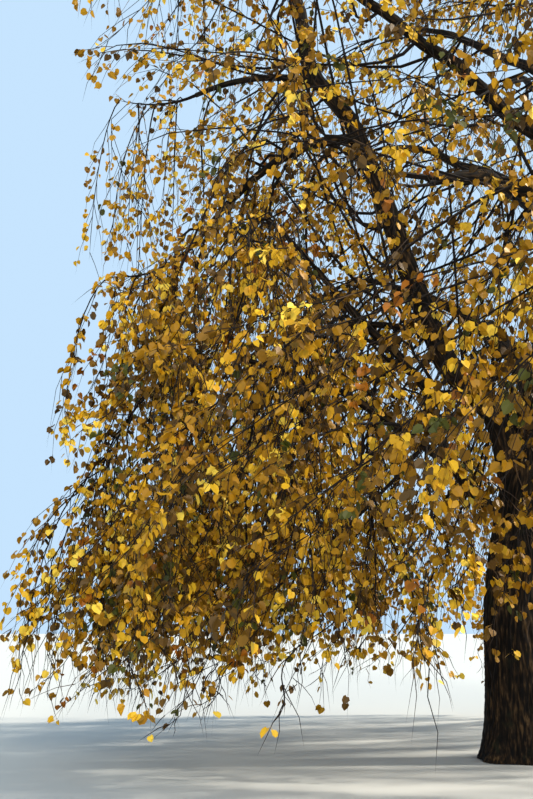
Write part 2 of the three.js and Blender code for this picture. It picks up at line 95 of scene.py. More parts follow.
LEFT_BOUGHS = [
    bough("left_leader", "trunk", 3.0, 182, 2.93, 8.3, 0, 0.345, 0.125,
          [-0.15, 0.2, 0.2, 0.15, 0.145, 0.4, 0.23],
          mass("top_left", 186, 5.3, 11.4, 7.7, 0.3, leafy=0.48, fan=46)),
    bough("left_low", "trunk", 2.88, 192, 2.6, 3.1, 0, 0.15, 0.07,
          [0.29, 0.27, 0.12, -0.12, -0.12, -0.04, 0],
          mass("low_front_left", 226, 5.3, 4.6, 1.2, leafy=0.55)),
    bough("left_spread", "left_low", 0.24, 182, 2.65, 1.4, 0.6, 0.11, 0.06,
          [0, 0.02, 0, -0.04, 0, 0.03, 0],
          mass("low_left", 190, 5.7, 3.0, 0.48, spread=0.8, leafy=1.25, far=0.9, bias=1.0)),
    bough("left_inner", "left_leader", 0.28, 168, 1.9, 0.1, 6, 0.095, 0.055, [0, 0, 0],
          mass("inner_left", 160, 5.2, 3.9, 0.55, leafy=0.9, bias=1.1)),
    bough("left_arch", "left_leader", 0.61, 187, 2.1, -1.45, -1.12, 0.135, 0.075, [0, 0, 0],
          mass("middle_left", 196, 5.6, 5.5, 3.3, spread=0.6, leafy=1.45, far=0.84)),
    bough("left_fork", "left_leader", 0.72, 174, 1.75, -0.06, -12, 0.105, 0.06, [0, 0, 0],
          mass("upper_left", 176, 5.7, 8.9, 5.6, 0.1, spread=0.8, leafy=0.45, far=0.86)),
    bough("upper_left", "trunk", 7.7, 191, 3.3, 2.5, 0.1, 0.225, 0.09,
          [-0.03, 0.04, 0, -0.05, 0.03, 0, 0.04],
          mass("upper_front_left", 226, 5.0, 10.3, 7.4, 0.1, leafy=0.35)),
    bough("front_left", "trunk", 7.34, 206, 2.4, -0.35, 0, 0.28, 0.095,
          [-0.06, 0, 0.07, 0.02, -0.07, -0.05, 0],
          mass("middle_front_left", 232, 5.4, 6.6, 4.7, leafy=0.22)),
]
# How much higher the masses right in front hang than the rest of their tier.
FRONT_RISE = 0.9
# How leafy a mass of the tiers is, the masses that differ, and how far the whips of some turn aside.
FULL = 0.65
OPEN = {
    "middle_front": 0.35, "middle_back": 0.35, "middle_back_left": 0.6,
    "upper_back": 0.3, "upper_back_left": 0.35,
    "low_front": 0.95, "low_back": 0.55, "low_back_left": 0.85,
    "top_front": 0.8, "top_right": 0.8, "top_back": 0.5,
}
TURN = {"low_front": -14, "middle_front": 8}
ALL_ROUND = ["front", "front_right", "right", "back_right", "back", "back_left"]
TIERS = [
    dict(name="low", sides=ALL_ROUND, start=3.65, step=0.23, reach=3.15, lift=2.2, arch=0.5,
         butt=0.175, tip=0.075, end=3.9, rim=0.87, skirt=0.75, perk=0.0),
    dict(name="middle", sides=ALL_ROUND, start=5.9, step=0.23, reach=3.0, lift=2.3, arch=0.4,
         butt=0.175, tip=0.075, end=7.3, rim=0.88, skirt=4.5, perk=0.0),
    dict(name="upper", sides=["front", "right", "back_right", "back", "back_left"],
         start=8.1, step=0.23, reach=2.7, lift=2.4, arch=0.3,
         butt=0.15, tip=0.07, end=10.6, rim=0.87, skirt=7.7, perk=0.15),
    dict(name="top", sides=["front", "right", "back"],
         start=9.7, step=0.25, reach=1.5, lift=2.6, arch=0.2,
         butt=0.125, tip=0.06, end=13.3, rim=0.82, skirt=10.9, perk=0.25),
]
VARY = {"azimuth": 16, "reach": 0.12, "lift": 0.15, "crooks": [0.09, 0.12, 0.12, 0.09]}
CREST = mass("crest", 0, 0.45, 14.6, 12.3, 0.35, twigs=1.2, spread=2.5, leafy=1.1, fan=180)
# The masses that share one piece of twigs and one of leaves, by their numbers in growing order.
GROUPS = {
    "left": range(0, 8), "low_front": range(8, 11), "low_back": range(11, 14),
    "middle": range(14, 20), "upper": range(20, 29),
}

LIMB = {"collar": 0.28, "collar_length": 0.26, "taper": 0.85}
STEM = {"curve": 0.45, "tip_radius": 0.011, "start_share": 0.92}
TWIG = {
    "count": 7, "tries": 60, "root_radius": 0.012, "tip_radius": 0.004, "start": 0.06,
    "side_angle": 30, "more_angle": 75, "least_spread": 0.35, "sweep": 1.8, "fall": 1.5, "ragged": 1.0,
    "shortest": 0.4, "least_drop": 0.5, "stem_share": 0.8, "hang": 0.72, "hang_share": 0.35,
}
SPACE = {"squash": 0.6, "centre_at": 0.6, "centre_drop": 0.35, "between": 0.02}

# ---- what scene.py adds: whips, danglers, shoots and leaves ----

# Whips are the long side branches that leave a bough or its stem, fall and sweep out to their tips.
WHIP = {
    "spacing": 0.22, "start": 0.12, "end": 0.98, "fewest": 3, "root_share": 0.5, "most_radius": 0.026,
    "least_turn": 8, "more_turn": 46, "level_enough": 0.2, "least_level": 0.5,
    "lift": 0.6, "fall": 1.3, "leave": 0.32, "arrive": 0.34, "flat": 0.25, "steep": 1.1,
    "low_power": 0.5, "high_power": 0.8, "low_skirt": 1.3, "above_lowest": 0.1,
    "least_reach": 0.5, "most_drop": 4.4, "shortest": 0.5, "least_kept": 0.25, "crest_start": 0.82,
    "wisp_share": 0.15, "wisp_far": 0.985,
}
# Danglers are bare twigs that hang from the ends of the lowest whips.
DANGLE = {
    "most": 53, "each": 3, "highest": 2.4, "most_skirt": 1.8, "length": 1.0, "least_share": 0.4,
    "first_place": 5, "last_place": 9.99, "clear": 0.3, "along": 1.1, "aside": 0.3, "out": 0.9,
    "radius": 0.005, "sway": 0.08, "least_waves": 4, "most_waves": 9,
}
# Shoots leave every twig, whip and dangler, and carry the leaves.
SHOOT = {
    "spacing": 0.175, "start": 0.1, "end": 0.995, "fewest": 2, "jitter": 0.6,
    "length": 1.2, "shortest": 0.28, "tip_length": 0.55, "least_length": 0.45, "full_from": 1.6,
    "angle": 27, "least_angle": 0.6, "most_angle": 1.5, "roll": 70,
    "sag": 0.9, "tip_sag": 0.3, "tip_from": 0.65, "tip_over": 0.3, "margin": 0.02, "cut_back": 0.45,
    "kink": 0.055, "kinks": (0, 1, -0.6, 0.8),
    "root_radius": 0.0055, "tip_radius": 0.0023, "least_kept": 0.38,
}
LEAF = {
    "slots": 12, "bunch": 3, "first": 0.18, "over": 0.8, "scatter": 1.4,
    "bunch_power": 0.6, "kept_power": 0.4, "with_shoot": 0.3, "least_aim": 0.35, "more_aim": 0.6,
    "down": 0.95, "twist": 130, "length": 0.102, "shorter": 0.6,
    "stalk": 0.036, "stalk_down": 0.6, "stalk_aim": 0.5, "least_stalk": 0.7, "most_stalk": 1.3,
    "stalk_width": 0.003, "least_fold": 0.2, "most_fold": 2.0, "limb_room": 0.035,
}
# How leafy a shoot is. Some are nearly bare, and the lowest and those of open masses have less.
DENSITY = {
    "shoot": 0.92, "bare_share": 0.34, "bare_shoot": 0.08, "open_share": 0.45, "low_share": 0.1,
    "bare_below": 1.0, "by_skirt": 0.3, "most_skirt": 1.2, "low_over": 1.1,
}
# How the share of tints with painted sunlight grows from the painted shade at the front (low y), and
# how much of it goes by whole twigs.
SUN = {"least": 0.15, "most": 0.85, "from_y": -3.5, "over": 6, "by_twig": 0.65, "by_shoot": 0.35}
# Points of a whip's course, of a line as it is kept, of a shoot and of a leaf, a leaf's triangles,
# and the steps by which a stem is measured and a twig is tested.
COURSE_POINTS = 30
LINE_POINTS = 10
SHOOT_POINTS = 4
LEAF_POINTS = 10
LEAF_FACES = 7
STEPS = 40

EVEN = {"golden": 0.6180339887, "plastic": 0.7548776662}
TINY = 1e-6
UP = np.array([0.0, 0.0, 1.0])

# Corners of a leaf: across, along and out of its plane, by its length. The stalk's root is first.
# One outline is a full heart, one is rounder and lopsided, and one is curled up along its midrib.
OUTLINES = np.array([
    [(0.0, 0.08, 0.0), (-0.26, -0.03, 0.05), (-0.5, 0.28, 0.1), (-0.39, 0.66, 0.07),
     (0.02, 1.0, -0.08), (0.41, 0.64, 0.07), (0.51, 0.25, 0.1), (0.23, -0.04, 0.05)],
    [(0.0, 0.05, 0.0), (-0.3, 0.02, 0.04), (-0.52, 0.36, 0.04), (-0.34, 0.74, -0.08),
     (0.06, 0.93, -0.2), (0.43, 0.68, -0.06), (0.46, 0.22, 0.06), (0.2, -0.06, 0.05)],
    [(0.0, 0.07, 0.0), (-0.2, 0.0, 0.14), (-0.33, 0.3, 0.3), (-0.25, 0.7, 0.2),
     (0.0, 0.96, -0.16), (0.28, 0.66, 0.22), (0.36, 0.26, 0.28), (0.18, -0.03, 0.14)],
])
OUTLINE_SHARES = [5, 4, 3]
HEART_FACES = np.array([(0, 1, 2), (0, 2, 3), (0, 3, 4), (0, 4, 5), (0, 5, 6), (0, 6, 7)])
STALK_FACE = np.array([(8, 9, 0)])

# Autumn tints of the leaves: name, display colour, share in painted sunlight and share in painted
# shade, on the side away from it.
# The pale and bright tints stand partly for leaves in sunlight, the brown and umber ones partly for
# leaves in shade.
TINTS = [
    ("leaf_pale", (238, 200, 68), 3.2, 1), ("leaf_bright", (220, 172, 34), 5, 2.6),
    ("leaf_gold", (188, 138, 15), 5, 4.5), ("leaf_ochre", (156, 110, 8), 3.2, 4.5),
    ("leaf_brown", (118, 82, 6), 1.8, 3.8), ("leaf_umber", (82, 56, 6), 1.3, 2.8),
    ("leaf_olive", (72, 72, 18), 1, 1), ("leaf_orange", (150, 88, 9), 0.3, 0.3),
]
LEAF_LOOK = {"roughness": 0.5, "specular": 0.25}
# Tones of the twigs: name, display colour, roughness, specular level and share of the shoots.
TWIG_TONES = [
    ("twig_dark", (30, 24, 21), 0.85, 0.15, 6), ("twig_brown", (50, 38, 30), 0.85, 0.15, 3),
    ("twig_young", (92, 70, 48), 0.8, 0.2, 1),
]

# Each mass has 200 seeds: its twigs start at 0, its other lines as here. Each line has 64 for shoots.
SEEDS = {
    "first_mass": 11, "mass": 200, "stem_whips": 60, "bough_whips": 110, "danglers": 146, "stem": 199,
    "line": 64,
}
# The index and channel of each draw of chance. Draws whose index counts up have only a channel.
DRAWS = {
    "whip_rise": (0, 5), "whip_fall": (1, 5), "whip_fan": (2, 5), "whip_reach": (3, 5),
    "whip_place": (4, 5), "whip_turn": (5, 5), "whip_arrive": (6, 5), "whip_kept": (8, 5),
    "whip_wisp": (9, 5),
    "dangle_place": (1, 6), "dangle_length": (2, 6), "dangle_side": (3, 6), "dangle_waves": (4, 6),
    "shoot_kept": (6, 7), "shoot_bare": (7, 7), "in_painted_sun": (8, 8),
    "leaf_place": (1, 1), "leaf_kept": (2, 2), "leaf_bunch": (2, 3), "leaf_aim": (3, 3),
    "leaf_out": (4, 4), "leaf_twist": (5, 5), "leaf_length": (6, 6), "leaf_stalk": (7, 7),
    "leaf_fold": (8, 8), "leaf_down": (9, 9),
}
CHANNEL = {
    "azimuth": 1, "reach": 2, "lift": 3, "first_crook": 4, "twig_spread": 1, "twig_bottom": 2,
    "shoot_place": 3, "shoot_angle": 4, "shoot_roll": 6, "shoot_length": 7,
    "twig_tone": 4, "tint": 5, "outline": 10,
}
DEAL_INDEX = 9

# ---- bark ----

# By a bough's least thickness at its butt: the points round its bark and the step along it.
BARK_SIZES = [(0.2, 32, 0.05), (0.0, 20, 0.07)]
BARK = {
    "trunk_around": 176, "trunk_along": 260, "trunk_depth": 0.02, "bough_depth": 0.01,
    "most_depth": 0.16, "trunk_crowding": 1.45, "bough_crowding": 1.05,
    "seed_step": 3.7, "first_seed": 1.3,
}
RIDGE = {
    "sway": 0.02, "sway_scale": 3, "sway_along": 1.6, "scale": 22, "along": 3.8, "seed_step": 7,
    "sharp": 2.6, "fine_scale": 70, "fine_along": 14, "sharp_share": 0.8, "fine_share": 0.3,
}
BARK_LOOK = {
    "roughness": 0.88, "specular": 0.2, "stretch": 0.16,
    "streak_scale": 34, "streak_detail": 6, "patch_scale": 3.2, "patch_detail": 3,
    "moss_scale": 5.5, "moss_detail": 4, "bump": 0.9, "bump_distance": 0.012,
    "streaks": [(0.36, (8, 6, 4)), (0.47, (23, 16, 10)), (0.56, (42, 30, 18)), (0.7, (90, 69, 45))],
    "patches": [(0.36, (0.5, 0.48, 0.46, 1)), (0.64, (1.25, 1.2, 1.1, 1))],
    "moss": [(0.58, (0, 0, 0, 1)), (0.74, (0.4, 0.4, 0.4, 1))], "moss_colour": (48, 48, 28),
}
# The inputs and outputs of a colour Mix node, which share their names with those of its other kinds.
MIX = {"factor": 0, "a": 6, "b": 7, "result": 2}

# ---- floor, sky and suns ----

FLOOR = {"size": 800, "z": -0.002, "colour": (0.48, 0.48, 0.46, 1), "roughness": 0.9, "specular": 0.1}
SKY = {"colour": (0.57, 0.78, 1.0, 1), "strength": 1.0}
# Name, azimuth, elevation, strength, colour and angle across.
SUNS = [
    ("key", 5, 36, 6.6, (1.0, 0.93, 0.8), 3),
    ("fill", -78, 22, 2.2, (1.0, 0.92, 0.76), 12),
]


# ---- numbers ----

def smooth(x):
    """Eases from 0 to 1 for x from 0 to 1, and stays there outside."""
    t = np.clip(x, 0, 1)
    return t * t * (3 - 2 * t)


def lerp(a, b, t):
    """The value that lies t of the way from a to b."""
    return a + (b - a) * t


def chance(seed, index, channel):
    """A number from 0 to 1 that is always the same for the same three whole numbers."""
    low = np.uint64(0xFFFFFFFF)
    seed, index, channel = (np.asarray(v).astype(np.uint64) for v in (seed, index, channel))
    one = np.uint64(1)
    h = (seed * np.uint64(374761393)) & low
    h = h ^ (((index + one) * np.uint64(668265263)) & low)
    h = h ^ (((channel + one) * np.uint64(2246822519)) & low)
    h = ((h ^ (h >> np.uint64(15))) * np.uint64(2246822519)) & low
    h = ((h ^ (h >> np.uint64(13))) * np.uint64(3266489917)) & low
    return (h ^ (h >> np.uint64(16))).astype(float) / 4294967296


def draw(seeds, what):
    """The chance of each of many seeds for one of the draws."""
    return chance(seeds, *DRAWS[what])


def draw_one(seed, what):
    """The chance of one seed for one of the draws."""
    return float(draw(seed, what))


def deal(seeds, weights, channel):
    """For each seed a number of a row of weights, by chance and in proportion to them."""
    edges = np.cumsum(weights) / np.sum(weights)
    return np.searchsorted(edges, chance(seeds, DEAL_INDEX, channel))


def part(x):
    """What x has after the point."""
    return x - np.floor(x)


def heading(azimuth):
    """The level direction of an azimuth in degrees, from +X towards +Y."""
    a = np.radians(azimuth)
    return np.stack([np.cos(a), np.sin(a), np.zeros_like(a)], -1)


def unit(v):
    """The vectors v made one long."""
    return v / np.maximum(np.linalg.norm(v, axis=-1, keepdims=True), 1e-9)


def level_across(way):
    """The level unit vectors at right angles to way."""
    return unit(np.cross(way, UP) + TINY)


def turned_about(side, way, roll):
    """The vectors side, at right angles to way, turned about way by roll radians."""
    return side * column(np.cos(roll)) + np.cross(way, side) * column(np.sin(roll))


def column(t):
    """The numbers t with one more axis, to multiply vectors by."""
    return np.asarray(t, float)[..., None]


def azimuth_of(way):
    """The azimuth of a vector, in degrees."""
    return math.degrees(math.atan2(way[1], way[0]))


def resampled(points, at, places):
    """The points of a line, given at the numbers at, taken at places instead."""
    return np.stack([np.interp(places, at, points[:, axis]) for axis in range(3)], -1)


# ---- limbs ----

def crown_radius(z):
    """The crown's radius at height z."""
    t = np.maximum((z - CROWN["widest_at"]) / (CROWN["top"] - CROWN["widest_at"]), 0)
    return CROWN["radius"] * np.sqrt(np.maximum(1 - np.minimum(t, 1) ** CROWN["power"], 0))


def inside_crown(p, margin=0.0):
    """True where a point is inside the crown by more than margin."""
    out = np.hypot(p[..., 0] - CROWN["axis_x"], p[..., 1])
    return (p[..., 2] > CROWN["lowest"] + margin) & (out < crown_radius(p[..., 2]) - margin)


def eased(values, t):
    """Value at t in a row of evenly spaced values that starts and ends at 0, without corners."""
    row = np.array([0, *values, 0], float)
    place = np.asarray(t, float) * (len(row) - 1)
    i = np.minimum(place.astype(int), len(row) - 2)
    return lerp(row[i], row[i + 1], smooth(place - i))


class Limb:
    """A centre line at(t) with a radius(t), for t from 0 to 1."""

    def __init__(self, name, at, radius, length, azimuth=0.0):
        self.name, self.at, self.radius = name, at, radius
        self.length, self.azimuth = length, azimuth

    def direction(self, t):
        """The unit vector along the limb at t."""
        t, step = np.asarray(t), 0.002
        return unit(self.at(np.minimum(t + step, 1)) - self.at(np.maximum(t - step, 0)))


def trunk_limb():
    """The trunk, without its flare."""
    def at(t):
        z = np.asarray(t, float) * TRUNK["top"]
        leant = smooth((z - TRUNK["lean_from"]) / (TRUNK["lean_to"] - TRUNK["lean_from"]))
        return np.stack([TRUNK["lean"] * leant, np.zeros_like(z), z], -1)

    def radius(t):
        return TRUNK["foot"] / 2 * (1 - np.asarray(t) * TRUNK["tip_share"]) ** TRUNK["taper"]

    return Limb("trunk", at, radius, TRUNK["top"])


def bough_limb(b, parent):
    """A bough: it leaves its parent at start, arches, swerves by its crooks and tapers."""
    start = parent.at(b["start"] / TRUNK["top"] if parent.name == "trunk" else b["start"])
    out = heading(b["azimuth"])
    length = math.hypot(b["reach"], b["lift"])
    aside = out * b["lift"] / length - UP * b["reach"] / length

    def at(t):
        rise = b["lift"] * ((1 + b["arch"]) * column(t) - b["arch"] * column(t) ** 2)
        swerve = aside * column(eased(b["crooks"], t))
        return start + out * b["reach"] * column(t) + UP * rise + swerve

    def radius(t):
        t = np.asarray(t, float)
        spread = b["tip"] + (b["butt"] - b["tip"]) * (1 - t) ** LIMB["taper"]
        return spread * (1 + LIMB["collar"] * np.exp(-t * length / LIMB["collar_length"])) / 2

    return Limb(b["name"], at, radius, length, b["azimuth"])


def tier_boughs(tier, number):
    """The boughs of a tier, one to each of its sides, varied by chance."""
    rows = []
    for i, side in enumerate(tier["sides"]):
        def vary(channel):
            return float(chance(number + 1, i, channel)) - 0.5
        crooks = [amount * vary(CHANNEL["first_crook"] + k) for k, amount in enumerate(VARY["crooks"])]
        name = tier["name"] + "_" + side
        rise = FRONT_RISE * max(0.0, -math.sin(math.radians(SIDES[side])))
        rows.append(bough(
            name, "trunk", tier["start"] + tier["step"] * ((i * 2) % len(tier["sides"])),
            SIDES[side] + VARY["azimuth"] * vary(CHANNEL["azimuth"]),
            tier["reach"] * (1 + VARY["reach"] * vary(CHANNEL["reach"])),
            tier["lift"] * (1 + VARY["lift"] * vary(CHANNEL["lift"])),
            tier["arch"], tier["butt"], tier["tip"], crooks,
            mass(name, SIDES[side], tier["rim"] * float(crown_radius(tier["end"])), tier["end"],
                 tier["skirt"] + rise, tier["perk"], leafy=OPEN.get(name, FULL),
                 turn=TURN.get(name, 0))))
    return rows


def mass_stem(m, carrier):
    """The stem of a mass carries on from its bough's tip and bends over to the crown's edge."""
    start, way = carrier.at(1.0), carrier.direction(1.0)
    end = heading(m["azimuth"]) * m["radius"]
    end[0] += CROWN["axis_x"]
    end[2] = m["end"]
    bend = start + way * STEM["curve"] * np.linalg.norm(end - start)
    thick = float(carrier.radius(1.0)) * STEM["start_share"]

    def at(t):
        t = column(t)
        return start * (1 - t) ** 2 + bend * 2 * t * (1 - t) + end * t * t

    def radius(t):
        return lerp(thick, STEM["tip_radius"], np.asarray(t, float))

    line = at(np.linspace(0, 1, STEPS))
    length = float(np.linalg.norm(np.diff(line, axis=0), axis=1).sum())
    return Limb("stem_" + m["name"], at, radius, length)


def grow_limbs():
    """The limbs by name, the facts of the boughs, and the masses with their stems and seeds."""
    limbs = {"trunk": trunk_limb()}
    boughs = LEFT_BOUGHS + [b for n, tier in enumerate(TIERS) for b in tier_boughs(tier, n)]
    for b in boughs:
        limbs[b["name"]] = bough_limb(b, limbs[b["parent"]])
    rows = [(b["mass"], b["name"]) for b in boughs] + [(CREST, "trunk")]
    masses = []
    for place, (m, carrier) in enumerate(rows):
        stem = mass_stem(m, limbs[carrier])
        centre = stem.at(SPACE["centre_at"])
        centre[2] -= SPACE["centre_drop"] * (centre[2] - m["skirt"])
        masses.append(dict(m, carrier=carrier, place=place, seed=place + SEEDS["first_mass"],
                           stem=stem, centre=centre))
    return limbs, boughs, masses


# ---- twigs, whips and shoots ----

def in_own_space(p, m, centres):
    """True where a point is inside the crown and nearer to mass m's centre than to any other's."""
    d = p[..., None, :] - centres
    d = np.sqrt(d[..., 0] ** 2 + d[..., 1] ** 2 + (SPACE["squash"] * d[..., 2]) ** 2)
    own = d[..., m["place"]] + 2 * SPACE["between"]
    d[..., m["place"]] = np.inf
    return inside_crown(p) & (d.min(-1) > own)


def curve_of(root, out, spread, drop, perk):
    """A twig's line, which goes out along out, perks up a little and falls by drop."""
    def at(t):
        t = column(t)
        reach = out * spread * (1 - (1 - t) ** TWIG["sweep"])
        return root + reach + UP * (4 * perk * t * (1 - t) - drop * t ** TWIG["fall"])
    return at


def mass_twigs(m, centres):
    """The twigs of a mass by the source's rule: (points, root radius, seed) for each."""
    twigs, stem = [], m["stem"]
    wanted = round(TWIG["count"] * m["twigs"])
    steps = np.linspace(0, 1, STEPS)[1:]
    for i in range(TWIG["tries"]):
        if len(twigs) == wanted:
            break
        s = TWIG["start"] + (1 - TWIG["start"]) * part(0.5 + i * EVEN["golden"])
        root = stem.at(s)
        turn = TWIG["side_angle"] + TWIG["more_angle"] * part(i * EVEN["plastic"])
        out = heading(azimuth_of(stem.direction(s)) + (turn if i % 2 else -turn))
        wide = chance(m["seed"], i, CHANNEL["twig_spread"])
        spread = m["spread"] * lerp(TWIG["least_spread"], 1, wide)
        ragged = TWIG["ragged"] * chance(m["seed"], i, CHANNEL["twig_bottom"])
        drop = root[2] - m["skirt"] - TWIG["hang_share"] * TWIG["hang"] - ragged
        at = curve_of(root, out, spread, max(drop, TWIG["least_drop"]), m["perk"])
        free = in_own_space(at(steps), m, centres)
        share = 1.0 if free.all() else float(steps[int(np.argmin(free))]) - steps[0]
        if share >= TWIG["shortest"]:
            thick = min(TWIG["root_radius"], TWIG["stem_share"] * float(stem.radius(s)))
            line = at(np.linspace(0, share, LINE_POINTS))
            twigs.append((line, thick, m["seed"] * SEEDS["mass"] + i))
    return twigs


def whip_course(start, way, turn, m, seed):
    """A whip leaves along way, turned aside by turn degrees, falls and sweeps out to its tip."""
    fan = m["azimuth"] + m["turn"] + m["fan"] * (2 * draw_one(seed, "whip_fan") - 1)
    level = math.hypot(way[0], way[1])
    azimuth = azimuth_of(way) + turn if level > WHIP["level_enough"] else fan
    rise = lerp(WHIP["lift"], -WHIP["fall"], draw_one(seed, "whip_rise"))
    leave = unit(heading(azimuth) * max(level, WHIP["least_level"]) + UP * rise)

    power = WHIP["low_power"] if m["skirt"] < WHIP["low_skirt"] else WHIP["high_power"]
    end_z = lerp(m["end"], m["skirt"], draw_one(seed, "whip_fall") ** power)
    end_z = max(end_z, CROWN["lowest"] + WHIP["above_lowest"], start[2] - WHIP["most_drop"])
    inner = math.hypot(start[0] - CROWN["axis_x"], start[1]) + WHIP["least_reach"]
    far = WHIP["wisp_far"] if draw(seed, "whip_wisp") < WHIP["wisp_share"] else m["far"]
    outer = far * float(crown_radius(end_z))
    edge = lerp(inner, outer, draw_one(seed, "whip_reach") ** m["bias"])
    end = heading(fan) * edge + np.array([CROWN["axis_x"], 0, end_z])
    slope = lerp(WHIP["flat"], WHIP["steep"], draw_one(seed, "whip_arrive"))
    arrive = unit(heading(fan) - UP * slope)

    span = np.linalg.norm(end - start)
    first, last = start + leave * WHIP["leave"] * span, end - arrive * WHIP["arrive"] * span
    t = column(np.linspace(0, 1, COURSE_POINTS))
    back = 1 - t
    return start * back ** 3 + first * 3 * t * back ** 2 + last * 3 * t * t * back + end * t ** 3


def whips(limb, m, first, start=WHIP["start"]):
    """Whips along a limb, by turns to either side: (points, root radius, seed) for each."""
    rows = []
    count = max(int(limb.length * (1 - start) / WHIP["spacing"]), WHIP["fewest"])
    for i in range(count):
        seed = m["seed"] * SEEDS["mass"] + first + i
        if draw(seed, "whip_kept") > lerp(WHIP["least_kept"], 1, m["leafy"]):
            continue
        s = lerp(start, WHIP["end"], (i + draw_one(seed, "whip_place")) / count)
        turn = WHIP["least_turn"] + WHIP["more_turn"] * draw_one(seed, "whip_turn")
        points = whip_course(limb.at(s), limb.direction(s), turn if i % 2 else -turn, m, seed)
        inside = inside_crown(points)
        last = len(points) if inside.all() else int(np.argmin(inside))
        if last >= WHIP["shortest"] * len(points):
            places = np.linspace(0, last - 1, LINE_POINTS)
            thick = min(WHIP["most_radius"], WHIP["root_share"] * float(limb.radius(s)))
            rows.append((resampled(points, np.arange(COURSE_POINTS), places), thick, seed))
    return rows


def danglers(rows, m):
    """Twigs that hang from the low ends of a mass's whips: (points, root radius, seed) for each."""
    made = []
    if m["skirt"] > DANGLE["most_skirt"]:
        return made
    t = column(np.linspace(0, 1, LINE_POINTS))
    for points in (row[0] for row in rows if row[0][-1, 2] < DANGLE["highest"]):
        for _ in range(DANGLE["each"]):
            seed = m["seed"] * SEEDS["mass"] + SEEDS["danglers"] + len(made)
            place = lerp(DANGLE["first_place"], DANGLE["last_place"], draw_one(seed, "dangle_place"))
            place = int(place)
            root, way = points[place], unit(points[place] - points[place - 1])
            room = root[2] - CROWN["lowest"] - DANGLE["clear"]
            share = lerp(DANGLE["least_share"], 1.0, draw_one(seed, "dangle_length"))
            length = min(DANGLE["length"] * share, room)
            if length < SHOOT["shortest"] or len(made) == DANGLE["most"]:
                continue
            side = heading(360 * draw_one(seed, "dangle_side"))
            out = (way * DANGLE["along"] + side * DANGLE["aside"]) * [1, 1, 0]
            waves = lerp(DANGLE["least_waves"], DANGLE["most_waves"], draw_one(seed, "dangle_waves"))
            sway = side * DANGLE["sway"] * np.sin(t * waves)
            line = root + sway + out * length * DANGLE["out"] * (t + t * t) / 2 - UP * length * t
            if inside_crown(line).all():
                made.append((line, DANGLE["radius"], seed))
    return made


def shoots_on(points, seed):
    """Shoots that leave a twig by turns to either side and sag: an array of rows of points."""
    lengths = np.linalg.norm(np.diff(points, axis=0), axis=1)
    along = np.concatenate([[0], np.cumsum(lengths)])
    total = along[-1]
    count = max(int(total * (1 - SHOOT["start"]) / SHOOT["spacing"]), SHOOT["fewest"])
    k = np.arange(count)
    jitter = SHOOT["jitter"] * chance(seed, k, CHANNEL["shoot_place"])
    at = total * (SHOOT["start"] + (SHOOT["end"] - SHOOT["start"]) * (k + jitter) / count)
    root = resampled(points, along, at)
    i = np.clip(np.searchsorted(along, at) - 1, 0, len(lengths) - 1)
    way = unit(points[i + 1] - points[i])

    roll = np.radians(360 * part(seed * EVEN["golden"]))
    roll = roll + np.radians(SHOOT["roll"]) * (chance(seed, k, CHANNEL["shoot_roll"]) - 0.5)
    across = turned_about(level_across(way), way, roll)
    opening = lerp(SHOOT["least_angle"], SHOOT["most_angle"], chance(seed, k, CHANNEL["shoot_angle"]))
    angle = np.radians(SHOOT["angle"] * opening)
    leave = way * column(np.cos(angle)) + across * column(np.sin(angle) * np.where(k % 2, 1, -1))
    aside = level_across(leave)

    reach = lerp(1.0, SHOOT["tip_length"], at / total)
    reach = reach * lerp(SHOOT["least_length"], 1, chance(seed, k, CHANNEL["shoot_length"]))
    reach = SHOOT["length"] * reach * min(1.0, total / SHOOT["full_from"])
    reach = np.maximum(reach, SHOOT["shortest"])
    near_tip = smooth((at / total - SHOOT["tip_from"]) / SHOOT["tip_over"])
    sag = SHOOT["sag"] * lerp(1.0, SHOOT["tip_sag"], near_tip)[:, None, None]
    t = np.linspace(0, 1, SHOOT_POINTS)[None, :, None]
    kinks = SHOOT["kink"] * np.array(SHOOT["kinks"])[None, :, None]

    def lines(reach):
        bent = leave[:, None] * t + aside[:, None] * kinks - UP * sag * t * t
        return root[:, None] + bent * reach[:, None, None]

    whole = lines(reach)
    fits = inside_crown(whole, SHOOT["margin"]).all(1)
    return np.where(fits[:, None, None], whole, lines(reach * SHOOT["cut_back"]))


def tubes(lines, first, last, sides, upright=0.9):
    """Pointed tubes along many lines with equally many points: vertices and triangles."""
    n, rings = lines.shape[0], lines.shape[1] - 1
    way = unit(np.gradient(lines, axis=1))
    middle = unit(lines[:, -1] - lines[:, 0])
    aside = np.where(np.abs(middle[:, 2:]) > upright, [[1.0, 0.0, 0.0]], UP[None])
    side = unit(np.cross(way, np.broadcast_to(aside[:, None], way.shape)))
    over = np.cross(way, side)
    angles = (np.arange(sides) / sides * 2 * math.pi)[:, None]
    share = np.linspace(0, 1, rings + 1)[:rings]
    radius = np.asarray(first)[:, None] * (1 - share) + np.asarray(last)[:, None] * share
    ring = side[:, :rings, None] * np.cos(angles) + over[:, :rings, None] * np.sin(angles)
    body = lines[:, :rings, None] + ring * radius[..., None, None]
    vertices = np.concatenate([body.reshape(n, -1, 3), lines[:, -1:]], 1)
    faces = []
    for i in range(rings - 1):
        for s in range(sides):
            a, b = i * sides + s, i * sides + (s + 1) % sides
            faces += [(a, b, b + sides), (a, b + sides, a + sides)]
    top = (rings - 1) * sides
    faces += [(top + s, top + (s + 1) % sides, rings * sides) for s in range(sides)]
    faces = np.array(faces)[None] + (np.arange(n) * vertices.shape[1])[:, None, None]
    return vertices.reshape(-1, 3), faces.reshape(-1, 3)


# ---- leaves ----

